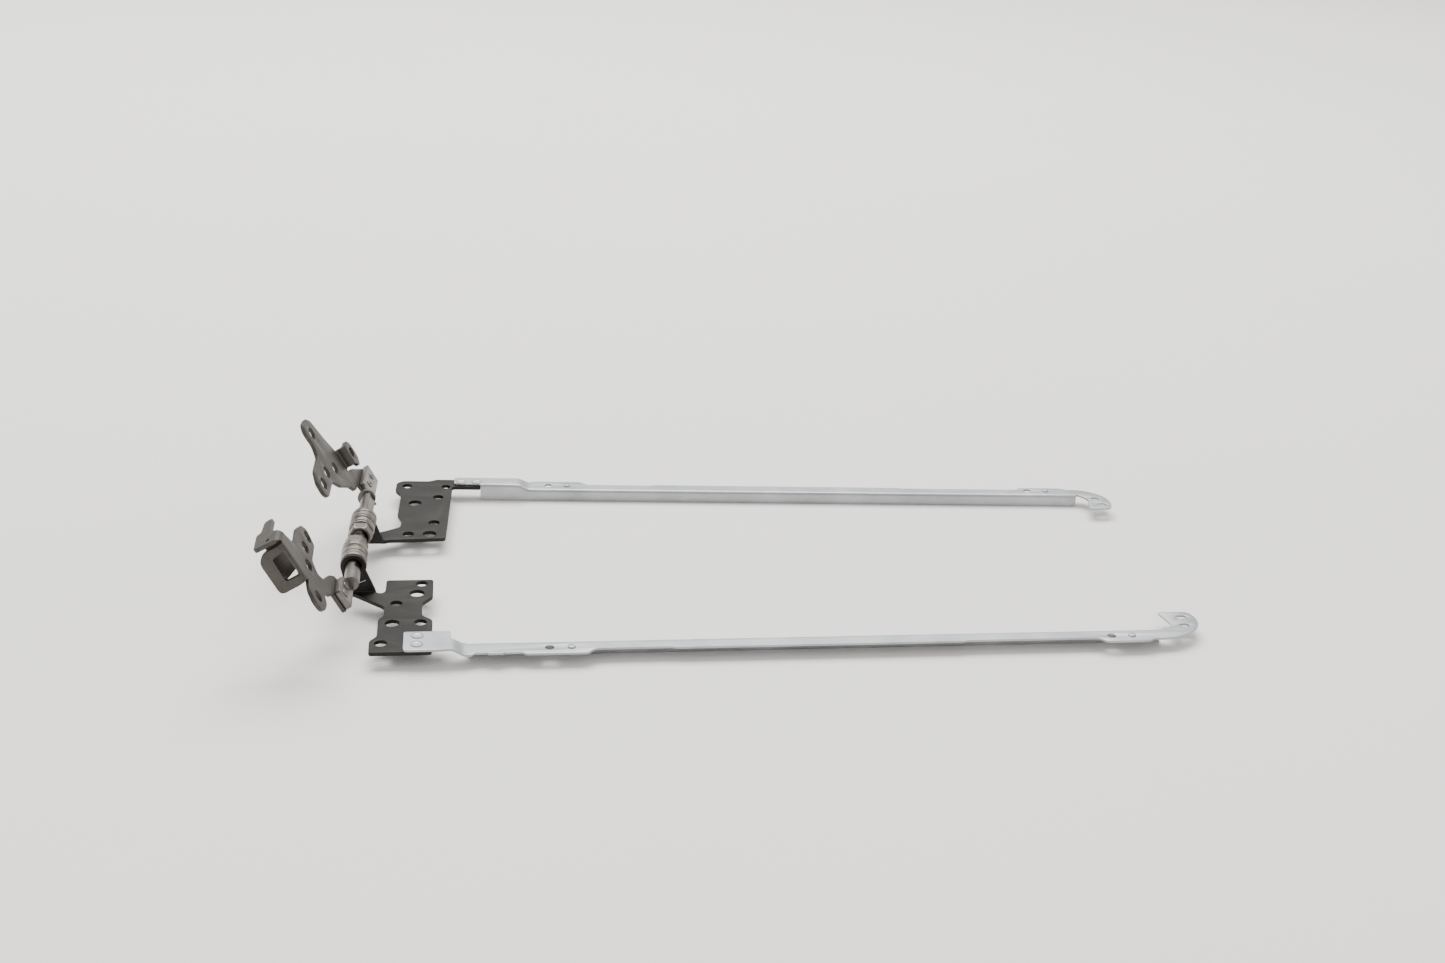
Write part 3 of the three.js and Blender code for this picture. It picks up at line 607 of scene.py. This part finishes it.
bracketLook = {"sheet": 1.0, "bend": 1.0, "edge": 0.1}
stakeBore = 0.78
staking = {"near": [(1.6, 12.2), (1.6, 16.2)], "far": [(1.2, 15.4), (1.2, 20.6)]}
nearBase = {
    "outline": [(-1.8, 9.4), (4.0, 9.4), (4.8, 7.0), (6.6, 5.8), (7.2, 3.0), (5.9, 1.0), (6.2, -2.6),
                (7.8, -4.6), (10.4, -4.8), (12.8, -3.2), (13.5, -1.2, 0.3), (13.9, 0.14, 0.2),
                (14.5, -0.2, 0.3), (14.2, -2.0, 0.5), (14.1, -7.1, 1.5), (23.4, -7.1, 2.4), (25.3, -5.2, 1.6),
                (25.3, -0.6, 0.4), (25.4, 0.0, 0.15), (26.6, -0.9, 0.4), (32.2, -0.9, 0.9), (32.2, 6.8, 0.8),
                (31.0, 7.6, 0.6), (30.6, 12.9, 1.2), (28.3, 12.9, 1.2), (28.2, 5.6, 0.9), (26.2, 4.2, 1.2),
                (25.0, 4.4), (21.0, 6.4, 0.4), (21.2, 14.6), (20.0, 18.4), (17.8, 20.2), (13.8, 18.2),
                (13.7, 10.2), (11.0, 8.0), (8.6, 9.2), (6.8, 14.6), (4.6, 17.8), (-1.8, 18.2)],
    "holes": [(16.8, 17.6, 1.65), (17.0, 11.6, 1.65), (14.7, 6.2, 1.65), (9.5, -0.9, 1.65), (28.6, 1.0, 0.5)],
    "window": [(16.6, -0.6), (23.6, -0.6), (23.0, -4.0), (16.6, -4.2)],
    "sideFold": 0.1, "endFold": 25.3,
}
farBase = {
    "outline": [(-1.6, 12.4), (3.4, 13.0), (5.6, 17.6), (7.4, 21.2), (8.2, 22.8, 0.8), (8.2, 25.0, 0.8),
                (9.0, 26.05, 0.7), (9.8, 25.0, 0.8), (9.5, 22.4, 0.6), (8.3, 21.4, 0.5), (7.7, 20.2, 0.8),
                (9.2, 17.6, 1.4), (13.4, 17.5, 1.4), (15.4, 19.2, 1.4), (15.4, 25.9, 0.2), (16.6, 26.15, 0.4),
                (20.6, 28.0), (27.4, 30.0), (29.2, 32.4), (29.4, 36.6), (27.6, 38.6), (23.4, 38.4),
                (20.9, 40.6), (20.6, 49.0), (18.4, 52.4), (15.2, 52.8), (13.3, 51.0), (13.5, 41.6),
                (9.8, 37.6), (6.6, 31.4), (4.2, 29.2), (3.8, 24.0), (-1.6, 23.0)],
    "holes": [(25.4, 34.4, 1.7), (14.0, 33.9, 1.7), (16.4, 41.6, 1.7), (16.4, 48.6, 1.7), (12.0, 20.4, 1.6)],
    "tab": {"start": 26.0, "bend": 1.05, "straight": 0.4},
}


def makeNearBracket():
    thick, bend, face = bracketLook["sheet"], bracketLook["bend"], units["near"]["face"]
    middle = face + thick / 2
    loops = [roundCorners(nearBase["outline"], 0.9), roundCorners(nearBase["window"], 0.7)]
    loops += [circle(*hole) for hole in nearBase["holes"] + [(u, y, stakeBore) for u, y in staking["near"]]]
    shape = sheet(loops, face, face + thick, bracketLook["edge"])
    side, end = nearBase["sideFold"], nearBase["endFold"]
    fold(shape, (0, side), (0, -1), 90, bend, middle, lambda co: 13.8 < co.x < end and co.y < side)
    fold(shape, (end + 0.1, 0), (1, 0), 90, bend, middle, lambda co: co.x > end + 0.1)
    wallOutline = [(25.8, face + 0.4), (17.6, face + 0.4), (15.5, face + 5.1), (25.8, face + 5.1)]
    inner = sheet([roundCorners(wallOutline, 0.5)], -3.0, -2.0, 0.1)
    bmesh.ops.transform(inner, matrix=Matrix.Rotation(math.radians(90), 4, "X"), verts=inner.verts)
    piece = toObject("nearBaseBracket", joined([shape, inner]), raisedPlace("near"), darkPlate)
    finish(piece, "near_base", "dark_plate", "near_base_bracket")


def makeFarBracket():
    face, tab = units["far"]["face"], farBase["tab"]
    loops = [roundCorners(farBase["outline"], 0.9)]
    loops += [circle(*hole) for hole in farBase["holes"] + [(u, y, stakeBore) for u, y in staking["far"]]]
    shape = sheet(loops, face, face + bracketLook["sheet"], bracketLook["edge"])
    onTab = lambda co: min(7.05 + (co.y - 19.2) * 0.5, 9.0) < co.x < 15.9 and co.y < tab["start"]
    zBend(shape, tab["start"], tab["bend"], tab["straight"], face + bracketLook["sheet"] / 2, onTab)
    piece = toObject("farBaseBracket", shape, raisedPlace("far"), darkPlate)
    finish(piece, "far_base", "dark_plate", "far_base_bracket")


# the stepped tab: up through a right angle, a short rise, and back to lie level
def zBend(shape, start, radius, straight, middle, where, steps=7):
    quarter = radius * math.pi / 2
    marks = [quarter * k / steps for k in range(steps + 1)]
    cutLines(shape, (0, start), (0, -1), marks + [quarter + straight + m for m in marks])
    for v in shape.verts:
        s = start - v.co.y
        if s <= 1e-4 or not where(v.co):
            continue
        h = middle - v.co.z  # height on the side the tab rises to
        if s <= quarter:
            a = s / radius
            y, z = (radius - h) * math.sin(a), radius - (radius - h) * math.cos(a)
        elif s <= quarter + straight:
            y, z = radius - h, radius + s - quarter
        else:
            a = min((s - quarter - straight) / radius, math.pi / 2)
            extra = max(s - 2 * quarter - straight, 0)
            y = 2 * radius - (radius + h) * math.cos(a) + extra
            z = radius + straight + (radius + h) * math.sin(a)
        v.co.y = start - y
        v.co.z = middle - z


makeNearBracket()
makeFarBracket()


# ---- shafts

shaftLook = {"radius": 1.9, "flat": 1.35}
shafts = {
    "near": {"tongue": (9.9, 20.0), "across": (-1.6, 3.9), "top": 0.3, "flatsFrom": 25.7, "collar": False},
    "far": {"tongue": (12.2, 26.6), "across": (-2.0, 3.7), "top": -0.4, "flatsFrom": 27.9, "collar": True},
}
stackLook = {
    "gap": 0.1, "nutLength": 3.3, "nutAcross": 3.2, "shaftEnd": 0.2, "bore": 2.02,
    "pieces": [
        ("friction_bush", 1.9, 3.3, 0, "lid_side", "bronzed_disc"),
        ("friction_disc_a", 0.9, 3.2, 0, "base", "bronzed_disc"),
        ("friction_disc_b", 0.9, 3.3, 0, "lid_side", "bronzed_disc"),
        ("friction_disc_c", 0.9, 3.2, 0, "base", "bronzed_disc"),
        ("backing_washer", 0.8, 3.0, 0, "base", "bronzed_disc"),
        ("disc_spring_a", 0.5, 3.3, 0.3, "base", "spring_steel"),
        ("disc_spring_b", 0.5, 3.3, -0.3, "base", "spring_steel"),
        ("pressure_washer", 0.7, 3.2, 0, "base", "bronzed_disc"),
    ],
}


def stackEnd(ear):
    return ear + stackLook["gap"] + sum(p[1] + stackLook["gap"] + abs(p[3]) for p in stackLook["pieces"])


def makeShaft(unit):
    plan = shafts[unit]
    start, end = plan["tongue"]
    left, right = plan["across"]
    radius, flat = shaftLook["radius"], shaftLook["flat"]
    tip = stackEnd(units[unit]["ear"]) + stackLook["nutLength"] + stackLook["shaftEnd"]

    def flatted(a, r, y):
        if y < plan["flatsFrom"]:
            return r
        return min(r, flat / max(abs(math.sin(a)), 1e-6))

    edge = plan["flatsFrom"]
    profile = [(end - 0.4, 0.3), (end - 0.4, radius - 0.15), (end - 0.25, radius), (edge - 0.01, radius),
               (edge, radius), (tip - 0.25, radius), (tip, radius - 0.25), (tip, 0.5), (tip - 0.25, 0.1)]
    shapes = [turned(profile, flatted, 96)]
    if plan["collar"]:
        ring = [(end - 0.1, 0.5), (end - 0.1, 2.3), (end, 2.4), (end + 0.8, 2.4), (end + 0.9, 2.3),
                (end + 0.9, 0.5)]
        collar = turned(ring, None, 64)
        bmesh.ops.translate(collar, verts=collar.verts, vec=(0.24, 0, 0.44))
        lug = roundCorners([(-1.0, end), (-2.9, end + 0.1), (-2.5, end + 0.8), (-1.0, end + 0.9)], 0.2)
        shapes += [collar, sheet([lug], -0.9, 0.1, 0.1)]
    corners = [(left, start), (right, start), (right, end - 2.5), (right - 2.1, end), (left, end)]
    outline = roundCorners(corners, 0.7)
    loops = [outline] + [circle(u, y, stakeBore, 24) for u, y in staking[unit]]
    shapes.append(sheet(loops, plan["top"], units[unit]["face"] - 0.05, 0.15))
    piece = toObject(unit + "Shaft", joined(shapes), raisedPlace(unit), turnedSteel, 40)
    finish(piece, units[unit]["base"], "turned_steel", unit + "_shaft")


# the two rivets, staked nearly flush, that hold the tongue to the bracket
def makeShaftRivets(unit):
    back = units[unit]["face"] + bracketLook["sheet"]
    top = shafts[unit]["top"]
    profile = [(top - 0.04, 0.25), (top - 0.1, 0.3), (top - 0.24, 0.6), (top - 0.2, 0.9), (top - 0.05, 1.02),
               (top - 0.04, 0.72), (back + 0.05, 0.72), (back + 0.06, 1.05), (back + 0.24, 0.9),
               (back + 0.32, 0.6), (back + 0.25, 0.3)]
    for number, (u, y) in enumerate(staking[unit], 1):
        shape = turned(profile, None, 32)
        stand = Matrix.Translation((u, y, 0)) @ Matrix.Rotation(math.radians(90), 4, "X")
        bmesh.ops.transform(shape, matrix=stand, verts=shape.verts)
        piece = toObject(f"{unit}ShaftRivet{number}", shape, raisedPlace(unit), nutSteel)
        finish(piece, units[unit]["base"], "dark_rivet", f"{unit}_shaft_rivet_{number}")


for unit in units:
    makeShaft(unit)
    makeShaftRivets(unit)


# ---- friction stacks


# a washer swept round the axis, made by Geometry Nodes
def washerTree():
    tree = bpy.data.node_groups.new("washerRing", "GeometryNodeTree")
    face = tree.interface
    face.new_socket("Geometry", in_out="INPUT", socket_type="NodeSocketGeometry")
    for name in ("Middle radius", "Wall", "Length", "Corner", "Dish"):
        face.new_socket(name, in_out="INPUT", socket_type="NodeSocketFloat")
    face.new_socket("Finish", in_out="INPUT", socket_type="NodeSocketMaterial")
    face.new_socket("Geometry", in_out="OUTPUT", socket_type="NodeSocketGeometry")
    nodes, links = tree.nodes, tree.links
    start, end = nodes.new("NodeGroupInput"), nodes.new("NodeGroupOutput")
    path = nodes.new("GeometryNodeCurvePrimitiveCircle")
    path.inputs["Resolution"].default_value = 96
    section = nodes.new("GeometryNodeCurvePrimitiveQuadrilateral")
    soften = nodes.new("GeometryNodeFilletCurve")
    soften.mode = "POLY"
    soften.inputs["Count"].default_value = 3
    sweep = nodes.new("GeometryNodeCurveToMesh")
    place = nodes.new("GeometryNodeInputPosition")
    parts = nodes.new("ShaderNodeSeparateXYZ")
    flatten = nodes.new("ShaderNodeCombineXYZ")
    reach = nodes.new("ShaderNodeVectorMath")
    reach.operation = "LENGTH"
    out = nodes.new("ShaderNodeMath")
    out.operation = "SUBTRACT"
    share = nodes.new("ShaderNodeMath")
    share.operation = "DIVIDE"
    lift = nodes.new("ShaderNodeMath")
    lift.operation = "MULTIPLY"
    offset = nodes.new("ShaderNodeCombineXYZ")
    move = nodes.new("GeometryNodeSetPosition")
    finishNode = nodes.new("GeometryNodeSetMaterial")
    links.new(start.outputs["Middle radius"], path.inputs["Radius"])
    links.new(start.outputs["Wall"], section.inputs["Width"])
    links.new(start.outputs["Length"], section.inputs["Height"])
    links.new(section.outputs["Curve"], soften.inputs["Curve"])
    links.new(start.outputs["Corner"], soften.inputs["Radius"])
    links.new(path.outputs["Curve"], sweep.inputs["Curve"])
    links.new(soften.outputs["Curve"], sweep.inputs["Profile Curve"])
    links.new(sweep.outputs["Mesh"], move.inputs["Geometry"])
    links.new(place.outputs["Position"], parts.inputs["Vector"])
    links.new(parts.outputs["X"], flatten.inputs["X"])
    links.new(parts.outputs["Y"], flatten.inputs["Y"])
    links.new(flatten.outputs["Vector"], reach.inputs[0])
    links.new(reach.outputs["Value"], out.inputs[0])
    links.new(start.outputs["Middle radius"], out.inputs[1])
    links.new(out.outputs["Value"], share.inputs[0])
    links.new(start.outputs["Wall"], share.inputs[1])
    links.new(share.outputs["Value"], lift.inputs[0])
    links.new(start.outputs["Dish"], lift.inputs[1])
    links.new(lift.outputs["Value"], offset.inputs["Z"])
    links.new(offset.outputs["Vector"], move.inputs["Offset"])
    links.new(move.outputs["Geometry"], finishNode.inputs["Geometry"])
    links.new(start.outputs["Finish"], finishNode.inputs["Material"])
    links.new(finishNode.outputs["Geometry"], end.inputs["Geometry"])
    return tree


ringTree = washerTree()
discFinish = {"bronzed_disc": bronzed, "spring_steel": springSteel}


def makeWasher(name, radius, length, dish, centre, place, material):
    carrier = bpy.data.objects.new(name, bpy.data.meshes.new(name))
    bpy.context.scene.collection.objects.link(carrier)
    modifier = carrier.modifiers.new("ring", "NODES")
    modifier.node_group = ringTree
    bore = stackLook["bore"]
    values = {"Middle radius": (radius + bore) / 2, "Wall": radius - bore, "Length": length,
              "Corner": min(0.16, length * 0.3), "Dish": dish, "Finish": material}
    for socket in ringTree.interface.items_tree:
        if socket.in_out == "INPUT" and socket.name in values:
            modifier[socket.identifier] = values[socket.name]
    bpy.context.view_layer.update()
    result = bpy.data.meshes.new_from_object(carrier.evaluated_get(bpy.context.evaluated_depsgraph_get()))
    carrier.modifiers.remove(modifier)
    bpy.data.objects.remove(carrier)
    shape = bmesh.new()
    shape.from_mesh(result)
    bpy.data.meshes.remove(result)
    lay = Matrix.Translation((0, centre, 0)) @ Matrix.Rotation(math.radians(-90), 4, "X")
    bmesh.ops.transform(shape, matrix=lay, verts=shape.verts)
    return toObject(name, shape, place, material, 40)


def makeStack(unit):
    y = units[unit]["ear"] + stackLook["gap"]
    for node, length, radius, dish, body, slot in stackLook["pieces"]:
        lift = abs(dish)
        centre = y + (length + lift) / 2
        name = unit + node.title().replace("_", "")
        piece = makeWasher(name, radius, length, dish, centre, raisedPlace(unit), discFinish[slot])
        finish(piece, units[unit]["base"] if body == "base" else body, slot, unit + "_" + node)
        y += length + stackLook["gap"] + lift
    makeNut(unit, y)


def makeNut(unit, start):
    length, across = stackLook["nutLength"], stackLook["nutAcross"]
    end = start + length
    apothem = across * math.cos(math.radians(30))

    def hexagon(a, r, y):
        step = math.radians(60)
        side = apothem / math.cos((a % step) - step / 2)
        return min(r, side)

    wide = across + 0.1
    bore = stackLook["bore"]
    profile = [(start + 0.5, bore), (start, 2.2), (start, across - 0.4), (start + 0.35, across),
               (start + 0.36, wide), (end - 0.5, wide), (end - 0.45, across - 0.05),
               (end - 0.1, across - 0.4), (end, across - 0.5),
               (end, 2.25), (end - 0.3, bore)]
    outer = turned(profile, hexagon, 96)
    flatEnds = [f for f in outer.faces if len(f.verts) > 4]
    bmesh.ops.delete(outer, geom=flatEnds, context="FACES")
    onBore = [v for v in outer.verts if abs(math.hypot(v.co.x, v.co.z) - bore) < 1e-4]
    rings = [[v for v in onBore if abs(v.co.y - y) < 1e-6] for y in (start + 0.5, end - 0.3)]
    loops = [sorted(ring, key=lambda v: math.atan2(v.co.z, v.co.x)) for ring in rings]
    count = len(loops[0])
    for k in range(count):
        outer.faces.new((loops[0][k], loops[1][k], loops[1][(k + 1) % count], loops[0][(k + 1) % count]))
    piece = toObject(unit + "LockNut", outer, raisedPlace(unit), nutSteel, 30)
    finish(piece, units[unit]["base"], "dark_nut", unit + "_lock_nut")


for unit in units:
    makeStack(unit)
